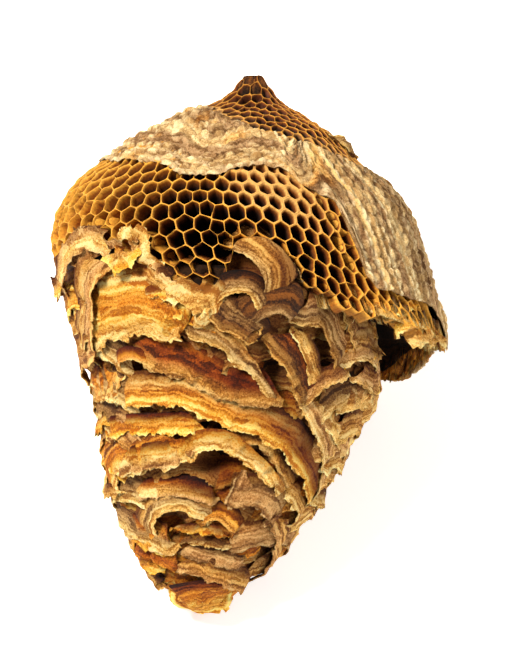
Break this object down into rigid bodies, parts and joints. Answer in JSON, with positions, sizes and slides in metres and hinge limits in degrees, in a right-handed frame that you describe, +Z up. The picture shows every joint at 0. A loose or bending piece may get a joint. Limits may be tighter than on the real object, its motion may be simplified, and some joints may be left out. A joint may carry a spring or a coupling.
{
  "type": "paper wasp nest",
  "caption": "Dry grey-brown paper wasp nest lying on its back: a dome of open brood cells under a paper cap, and a cone of overlapping scalloped envelope sheets.",
  "frame": {"origin": "centre of the bottom of the laid nest's bounding box, on the surface it lies on", "axes": "+Z up; +Y from the tip of the nest to its cut neck, as seen from above; +X to the right of its front side, which faces up and towards -Y"},
  "size_m": [0.1247, 0.1452, 0.1122],
  "materials": {
    "comb_paper": "matt ochre-brown cell paper, paler cream on the cell rims, almost black down the cells",
    "cap_paper": "matt pebbled paper in bands of cream, mauve-grey and ochre",
    "envelope_paper": "matt fibrous paper in arched stripes of cream, tan, ochre, rust and grey-brown"
  },
  "bodies": {
    "root": {"comb": "comb_paper", "cap_envelope": "cap_paper", "lower_envelope": "envelope_paper"}
  },
  "joints": []
}
